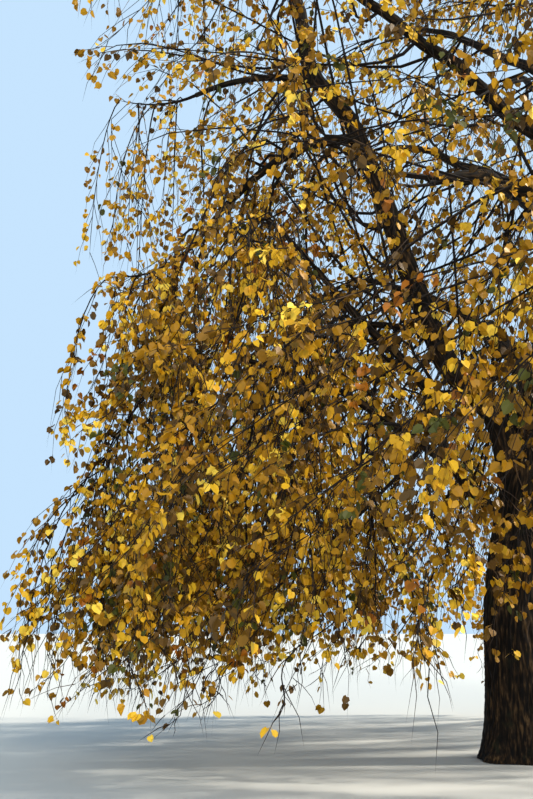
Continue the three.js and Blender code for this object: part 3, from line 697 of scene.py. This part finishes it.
def leaves_on(shoots, seeds, density, balls):
    """Leaves along shoots: vertices, triangles and for each triangle its shoot's number."""
    slots, bunch = LEAF["slots"], LEAF["bunch"]
    row, place = np.repeat(np.arange(len(shoots)), slots), np.tile(np.arange(slots), len(shoots))
    mark = seeds[row] * slots + place
    at = place // bunch * bunch + LEAF["scatter"] * draw(mark, "leaf_place")
    t = LEAF["first"] + LEAF["over"] * at / slots
    keep = draw(mark // bunch, "leaf_bunch") < density[row] ** LEAF["bunch_power"]
    keep &= draw(mark, "leaf_kept") < density[row] ** LEAF["kept_power"]
    row, mark, t = row[keep], mark[keep], t[keep]
    segments = SHOOT_POINTS - 1
    step = np.minimum(t * segments, segments - 0.001)
    i = step.astype(int)
    root = lerp(shoots[row, i], shoots[row, i + 1], column(step - i))
    way = unit(shoots[row, i + 1] - shoots[row, i])

    aim = heading(360 * draw(mark, "leaf_aim"))
    out_share = LEAF["least_aim"] + LEAF["more_aim"] * draw(mark, "leaf_out")
    hang = UP * column(LEAF["down"] * draw(mark, "leaf_down"))
    down = unit(way * LEAF["with_shoot"] + aim * column(out_share) - hang)
    twist = np.radians(LEAF["twist"] * (draw(mark, "leaf_twist") - 0.5))
    across = turned_about(level_across(down), down, twist)
    out = np.cross(across, down)
    length = LEAF["length"] * lerp(LEAF["shorter"], 1, draw(mark, "leaf_length"))
    stalk = LEAF["stalk"] * lerp(LEAF["least_stalk"], LEAF["most_stalk"], draw(mark, "leaf_stalk"))
    base = root + (down * LEAF["stalk_down"] + aim * LEAF["stalk_aim"]) * column(stalk)

    fold = lerp(LEAF["least_fold"], LEAF["most_fold"], draw(mark, "leaf_fold"))
    heart = OUTLINES[deal(mark, OUTLINE_SHARES, CHANNEL["outline"])]
    heart = heart * np.stack([np.ones_like(fold), np.ones_like(fold), fold], -1)[:, None]
    blade = across[:, None] * heart[..., :1] + down[:, None] * heart[..., 1:2]
    blade = base[:, None] + column(length)[:, None] * (blade + out[:, None] * heart[..., 2:])
    foot = np.stack([root, root + across * LEAF["stalk_width"]], 1)
    vertices = np.concatenate([blade, foot], 1)
    middle = base + down * column(length * 0.5)
    good = inside_crown(vertices).all(1) & clear_of_limbs(middle, balls)
    vertices, row = vertices[good], row[good]
    firsts = (np.arange(len(vertices)) * LEAF_POINTS)[:, None, None]
    faces = np.concatenate([HEART_FACES, STALK_FACE])[None] + firsts
    return vertices.reshape(-1, 3), faces.reshape(-1, 3), np.repeat(row, LEAF_FACES)


def limb_balls(limbs, apart=0.08):
    """Points and radii along the thick limbs, not further apart than told."""
    places, radii = [], []
    for limb in limbs:
        t = np.linspace(0, 1, int(limb.length / apart) + 2)
        places.append(limb.at(t))
        radii.append(limb.radius(t))
    return np.concatenate(places).astype(np.float32), np.concatenate(radii).astype(np.float32)


def clear_of_limbs(p, balls, at_once=4000):
    """True where a point keeps clear of all limbs, worked out for some thousand points at once."""
    places, radii = balls
    clear = np.ones(len(p), bool)
    for a in range(0, len(p), at_once):
        d = np.linalg.norm(p[a:a + at_once, None].astype(np.float32) - places[None], axis=2)
        clear[a:a + at_once] = (d > radii + LEAF["limb_room"]).all(1)
    return clear


# ---- meshes and materials ----

def mesh_object(name, vertices, faces, materials, slots=None, smooth_faces=False):
    """A mesh of triangles as an object of the scene."""
    mesh = bpy.data.meshes.new(name)
    mesh.vertices.add(len(vertices))
    mesh.vertices.foreach_set("co", np.ascontiguousarray(vertices, np.float32).ravel())
    mesh.loops.add(faces.size)
    mesh.loops.foreach_set("vertex_index", np.ascontiguousarray(faces, np.int32).ravel())
    mesh.polygons.add(len(faces))
    mesh.polygons.foreach_set("loop_start", np.arange(len(faces), dtype=np.int32) * 3)
    for material in materials:
        mesh.materials.append(material)
    if slots is not None:
        mesh.polygons.foreach_set("material_index", np.ascontiguousarray(slots, np.int32))
    mesh.polygons.foreach_set("use_smooth", np.full(len(faces), smooth_faces))
    mesh.update(calc_edges=True)
    piece = bpy.data.objects.new(name, mesh)
    bpy.context.scene.collection.objects.link(piece)
    return piece


def srgb(r, g, b):
    """Linear colour of an 8-bit display colour."""
    return tuple(((v / 255 + 0.055) / 1.055) ** 2.4 for v in (r, g, b)) + (1.0,)


def plain_material(name, colour, roughness, specular):
    """A material of one colour."""
    material = bpy.data.materials.new(name)
    material.use_nodes = True
    shader = material.node_tree.nodes["Principled BSDF"]
    shader.inputs["Base Color"].default_value = colour
    shader.inputs["Roughness"].default_value = roughness
    shader.inputs["Specular IOR Level"].default_value = specular
    return material


def bark_material():
    """Dark grey-brown bark: lighter ridges, darker furrows and a little moss in patches."""
    look = BARK_LOOK
    material = bpy.data.materials.new("bark")
    material.use_nodes = True
    nodes, links = material.node_tree.nodes, material.node_tree.links
    shader = nodes["Principled BSDF"]
    shader.inputs["Roughness"].default_value = look["roughness"]
    shader.inputs["Specular IOR Level"].default_value = look["specular"]
    grain = nodes.new("ShaderNodeAttribute")
    grain.attribute_name = "grain"
    stretch = nodes.new("ShaderNodeMapping")
    stretch.inputs["Scale"].default_value = (1.0, 1.0, look["stretch"])
    links.new(grain.outputs["Vector"], stretch.inputs["Vector"])

    def noise_node(scale, detail, source):
        node = nodes.new("ShaderNodeTexNoise")
        node.inputs["Scale"].default_value = scale
        node.inputs["Detail"].default_value = detail
        links.new(source, node.inputs["Vector"])
        return node

    def ramp(source, stops):
        node = nodes.new("ShaderNodeValToRGB")
        for k, (place, colour) in enumerate(stops):
            stop = node.color_ramp.elements[k] if k < 2 else node.color_ramp.elements.new(place)
            stop.position, stop.color = place, colour
        links.new(source, node.inputs["Fac"])
        return node

    streaks = noise_node(look["streak_scale"], look["streak_detail"], stretch.outputs["Vector"])
    colour = ramp(streaks.outputs["Fac"], [(place, srgb(*stop)) for place, stop in look["streaks"]])
    patches = noise_node(look["patch_scale"], look["patch_detail"], grain.outputs["Vector"])
    tone = ramp(patches.outputs["Fac"], look["patches"])
    toned = nodes.new("ShaderNodeMix")
    toned.data_type, toned.blend_type = "RGBA", "MULTIPLY"
    toned.inputs[MIX["factor"]].default_value = 1.0
    links.new(colour.outputs["Color"], toned.inputs[MIX["a"]])
    links.new(tone.outputs["Color"], toned.inputs[MIX["b"]])
    where = noise_node(look["moss_scale"], look["moss_detail"], grain.outputs["Vector"])
    moss = ramp(where.outputs["Fac"], look["moss"])
    greened = nodes.new("ShaderNodeMix")
    greened.data_type = "RGBA"
    links.new(moss.outputs["Color"], greened.inputs[MIX["factor"]])
    links.new(toned.outputs[MIX["result"]], greened.inputs[MIX["a"]])
    greened.inputs[MIX["b"]].default_value = srgb(*look["moss_colour"])
    links.new(greened.outputs[MIX["result"]], shader.inputs["Base Color"])
    bump = nodes.new("ShaderNodeBump")
    bump.inputs["Strength"].default_value = look["bump"]
    bump.inputs["Distance"].default_value = look["bump_distance"]
    links.new(streaks.outputs["Fac"], bump.inputs["Height"])
    links.new(bump.outputs["Normal"], shader.inputs["Normal"])
    return material


def bark_skin(limb, around, along, depth, seed):
    """A limb's skin with raised ridges: vertices, faces and the grain's coordinates."""
    is_trunk = limb.name == "trunk"
    t = np.linspace(0, 1, along) ** BARK["trunk_crowding" if is_trunk else "bough_crowding"]
    angle = np.arange(around) / around * 2 * math.pi
    centre, way = limb.at(t), limb.direction(t)
    if is_trunk:
        way = np.broadcast_to(UP, way.shape)
        side = np.broadcast_to([1.0, 0.0, 0.0], way.shape)
    else:
        side = np.broadcast_to(heading(limb.azimuth + 90), way.shape)
        side = unit(side - way * (side * way).sum(-1, keepdims=True))
    over = np.cross(way, side)
    radius = np.broadcast_to(limb.radius(t)[:, None], (along, around)).copy()
    if is_trunk:
        z = centre[:, 2:]
        waves = 1 + TRUNK["ridge_depth"] * np.cos(TRUNK["flare_ridges"] * angle)
        radius += TRUNK["flare"] * np.exp(-z / TRUNK["flare_height"]) * waves
    far = t * limb.length
    ring = np.stack([np.cos(angle), np.sin(angle)], -1)
    raised = np.empty((along, around))
    for a in range(along):
        for b in range(around):
            x, y = ring[b] * radius[a, b]
            raised[a, b] = ridges(x, y, far[a], seed)
    skin = radius + np.minimum(depth, BARK["most_depth"] * radius) * raised
    ring3 = side[:, None] * ring[None, :, :1] + over[:, None] * ring[None, :, 1:]
    vertices = centre[:, None] + ring3 * skin[..., None]
    if is_trunk:
        vertices[0, :, 2] = 0.0
    grain = np.stack([ring[None, :, 0] * radius, ring[None, :, 1] * radius + seed,
                      np.broadcast_to(far[:, None], radius.shape)], -1)
    return vertices.reshape(-1, 3), skin_faces(around, along), grain.reshape(-1, 3)


def skin_faces(around, along):
    """The triangles of a tube of rings, with a flat fan over each end."""
    a, b = np.meshgrid(np.arange(along - 1), np.arange(around), indexing="ij")
    a, b = a.ravel(), b.ravel()
    c = (b + 1) % around
    here, above = a * around, (a + 1) * around
    quads = np.stack([here + b, here + c, above + c, above + b], -1)
    last = (along - 1) * around
    foot = [[0, k + 1, k] for k in range(1, around - 1)]
    tip = [[last, last + k, last + k + 1] for k in range(1, around - 1)]
    return np.concatenate([quads[:, [0, 1, 2]], quads[:, [0, 2, 3]], np.array(foot + tip)])


def ridges(x, y, far, seed):
    """Height of the bark's long ridges, from about -1 in the furrows to 1."""
    r = RIDGE
    slow = Vector((x * r["sway_scale"], y * r["sway_scale"], far * r["sway_along"] + seed))
    sway = r["sway"] * noise.noise(slow)
    height = far * r["along"] + seed * r["seed_step"]
    long = Vector(((x + sway) * r["scale"], (y + sway) * r["scale"], height))
    sharp = 1 - r["sharp"] * abs(noise.noise(long))
    short = Vector((x * r["fine_scale"], y * r["fine_scale"], far * r["fine_along"] + seed))
    fine = noise.noise(short)
    return max(-1.0, r["sharp_share"] * sharp + r["fine_share"] * fine)


def bark_piece(name, rows, material):
    """One piece for the skins of several limbs: rows of (limb, around, along, depth)."""
    made, start = [], 0
    for number, (limb, around, along, depth) in enumerate(rows):
        seed = BARK["seed_step"] * number + BARK["first_seed"]
        vertices, faces, grain = bark_skin(limb, around, along, depth, seed)
        made.append((vertices, faces + start, grain))
        start += len(vertices)
    vertices, faces, grain = (np.concatenate(kind) for kind in zip(*made))
    piece = mesh_object(name, vertices, faces, [material], smooth_faces=True)
    attribute = piece.data.attributes.new("grain", "FLOAT_VECTOR", "POINT")
    attribute.data.foreach_set("vector", grain.astype(np.float32).ravel())
    return piece


# ---- the tree ----

def declare(piece, nodes):
    """Sets a piece to ride on the root and hides the parts that it replaces."""
    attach(piece, "root")
    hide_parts(*nodes)


def mass_lines(m, carrier, centres):
    """The stem, twigs, whips and danglers of a mass: (points, root radius, seed) for each."""
    stem = m["stem"]
    start = WHIP["crest_start"] if m["name"] == "crest" else WHIP["start"]
    rows = mass_twigs(m, centres)
    rows += whips(stem, m, SEEDS["stem_whips"])
    rows += whips(carrier, m, SEEDS["bough_whips"], start)
    rows += danglers(rows, m)
    line = stem.at(np.linspace(0, 1, LINE_POINTS))
    rows.append((line, float(stem.radius(0)), m["seed"] * SEEDS["mass"] + SEEDS["stem"]))
    return rows


def leaf_density(shoots, seeds, full, low):
    """How densely each shoot has leaves, for its mass's fullness and its foot above low."""
    bare = draw(seeds, "shoot_bare") < DENSITY["bare_share"]
    density = np.where(bare, DENSITY["bare_shoot"], DENSITY["shoot"])
    height = smooth((shoots[:, 0, 2] - low) / DENSITY["low_over"])
    return density * lerp(DENSITY["open_share"], 1.0, full) * lerp(DENSITY["low_share"], 1.0, height)


def leaf_tints(shoots, seeds):
    """The tint of each shoot's leaves, with light and shade painted in: sunlit ones to the back, where
    the sky shines through, shaded ones to the front.
    """
    painted_sunlit = deal(seeds, [in_painted_sun for _, _, in_painted_sun, _ in TINTS], CHANNEL["tint"])
    painted_shaded = deal(seeds, [in_painted_shade for _, _, _, in_painted_shade in TINTS], CHANNEL["tint"])
    # Painted light: the share of sunlit tints grows from painted shade at the front to painted
    # sunlight at the back.
    share = lerp(SUN["least"], SUN["most"], smooth((shoots[:, 0, 1] - SUN["from_y"]) / SUN["over"]))
    twigs = seeds // SEEDS["line"]
    mixed = SUN["by_twig"] * draw(twigs, "in_painted_sun") + SUN["by_shoot"] * draw(seeds, "in_painted_sun")
    return np.where(mixed < share, painted_sunlit, painted_shaded)


def foliage_group(name, masses, limbs, centres, balls, leaf_materials, twig_materials):
    """The leaves and the twigs of several masses, as two pieces."""
    rows = []
    for m in masses:
        rows += mass_lines(m, limbs[m["carrier"]], centres)
    lines = np.array([points for points, _, _ in rows])
    radii = np.array([thick for _, thick, _ in rows])
    grown = [shoots_on(points, seed) for points, _, seed in rows]
    seeds = [seed * SEEDS["line"] + np.arange(len(g)) for g, (_, _, seed) in zip(grown, rows)]
    shoots, seeds = np.concatenate(grown), np.concatenate(seeds)

    mass_of = seeds // (SEEDS["mass"] * SEEDS["line"])
    leafy = {m["seed"]: m["leafy"] for m in masses}
    skirts = {m["seed"]: min(m["skirt"], DENSITY["most_skirt"]) for m in masses}
    full = np.array([leafy[k] for k in mass_of])
    low = np.array([DENSITY["bare_below"] + DENSITY["by_skirt"] * skirts[k] for k in mass_of])
    kept = inside_crown(shoots[:, 1:]).all(1)
    kept &= draw(seeds, "shoot_kept") < lerp(SHOOT["least_kept"], 1, full)
    shoots, seeds, full, low = shoots[kept], seeds[kept], full[kept], low[kept]

    v1, f1 = tubes(lines, radii, np.full(len(radii), TWIG["tip_radius"]), sides=4)
    ends = (np.full(len(shoots), SHOOT[end]) for end in ("root_radius", "tip_radius"))
    v2, f2 = tubes(shoots, *ends, sides=3)
    tones = deal(seeds, [tone[-1] for tone in TWIG_TONES], CHANNEL["twig_tone"])
    slots = np.concatenate([np.zeros(len(f1), int), np.repeat(tones, len(f2) // len(shoots))])
    twigs = mesh_object("twigs_" + name, np.concatenate([v1, v2]), np.concatenate([f1, f2 + len(v1)]),
                        twig_materials, slots)
    v, f, owner = leaves_on(shoots, seeds, leaf_density(shoots, seeds, full, low), balls)
    leaves = mesh_object("leaves_" + name, v, f, leaf_materials, leaf_tints(shoots, seeds)[owner])
    nodes = ["foliage_" + m["name"] for m in masses]
    declare(twigs, nodes)
    declare(leaves, nodes)


def build_tree():
    """The trunk's and the boughs' bark, and the foliage in its groups."""
    limbs, boughs, masses = grow_limbs()
    centres = np.array([m["centre"] for m in masses])
    balls = limb_balls(limbs.values())
    bark = bark_material()
    trunk_row = (limbs["trunk"], BARK["trunk_around"], BARK["trunk_along"], BARK["trunk_depth"])
    declare(bark_piece("bark_trunk", [trunk_row], bark), ["trunk"])
    rows = []
    for b in boughs:
        limb = limbs[b["name"]]
        around, step = next(size[1:] for size in BARK_SIZES if b["butt"] > size[0])
        rows.append((limb, around, int(limb.length / step), BARK["bough_depth"]))
    declare(bark_piece("bark_boughs", rows, bark), ["bough_" + b["name"] for b in boughs])
    leaf_materials = [plain_material(tint[0], srgb(*tint[1]), **LEAF_LOOK) for tint in TINTS]
    twig_materials = [plain_material(name, srgb(*colour), roughness, specular)
                      for name, colour, roughness, specular, _ in TWIG_TONES]
    for name, numbers in GROUPS.items():
        foliage_group(name, [masses[i] for i in numbers], limbs, centres, balls,
                      leaf_materials, twig_materials)


# ---- camera, floor and light ----

def add_sun(name, azimuth, elevation, strength, colour, angle):
    """A sun lamp that shines from an azimuth and an elevation."""
    lamp = bpy.data.lights.new(name, "SUN")
    lamp.energy, lamp.color, lamp.angle = strength, colour, math.radians(angle)
    holder = bpy.data.objects.new(name, lamp)
    a, e = math.radians(azimuth), math.radians(elevation)
    towards = Vector((math.cos(a) * math.cos(e), math.sin(a) * math.cos(e), math.sin(e)))
    holder.rotation_mode = "QUATERNION"
    holder.rotation_quaternion = towards.to_track_quat("Z", "Y")
    bpy.context.scene.collection.objects.link(holder)


def set_stage():
    """The camera, a plain pale floor, a plain sky and two suns."""
    scene = bpy.context.scene
    camera = bpy.data.objects.new("camera", bpy.data.cameras.new("camera"))
    camera.location = CAMERA["at"]
    camera.rotation_euler = (math.radians(90 + CAMERA["pitch"]), 0, 0)
    camera.data.lens, camera.data.sensor_width = CAMERA["lens"], CAMERA["sensor"]
    camera.data.clip_end = CAMERA["far"]
    scene.collection.objects.link(camera)
    scene.camera = camera

    bpy.ops.mesh.primitive_plane_add(size=FLOOR["size"], location=(0, 0, FLOOR["z"]))
    floor = bpy.context.object
    floor.name = "floor"
    floor.data.materials.append(
        plain_material("floor", FLOOR["colour"], FLOOR["roughness"], FLOOR["specular"]))

    world = bpy.data.worlds.new("studio")
    world.use_nodes = True
    back = world.node_tree.nodes["Background"]
    back.inputs["Color"].default_value = SKY["colour"]
    back.inputs["Strength"].default_value = SKY["strength"]
    scene.world = world
    for sun in SUNS:
        add_sun(*sun)
    scene.view_settings.view_transform = "Standard"


build_tree()
set_stage()
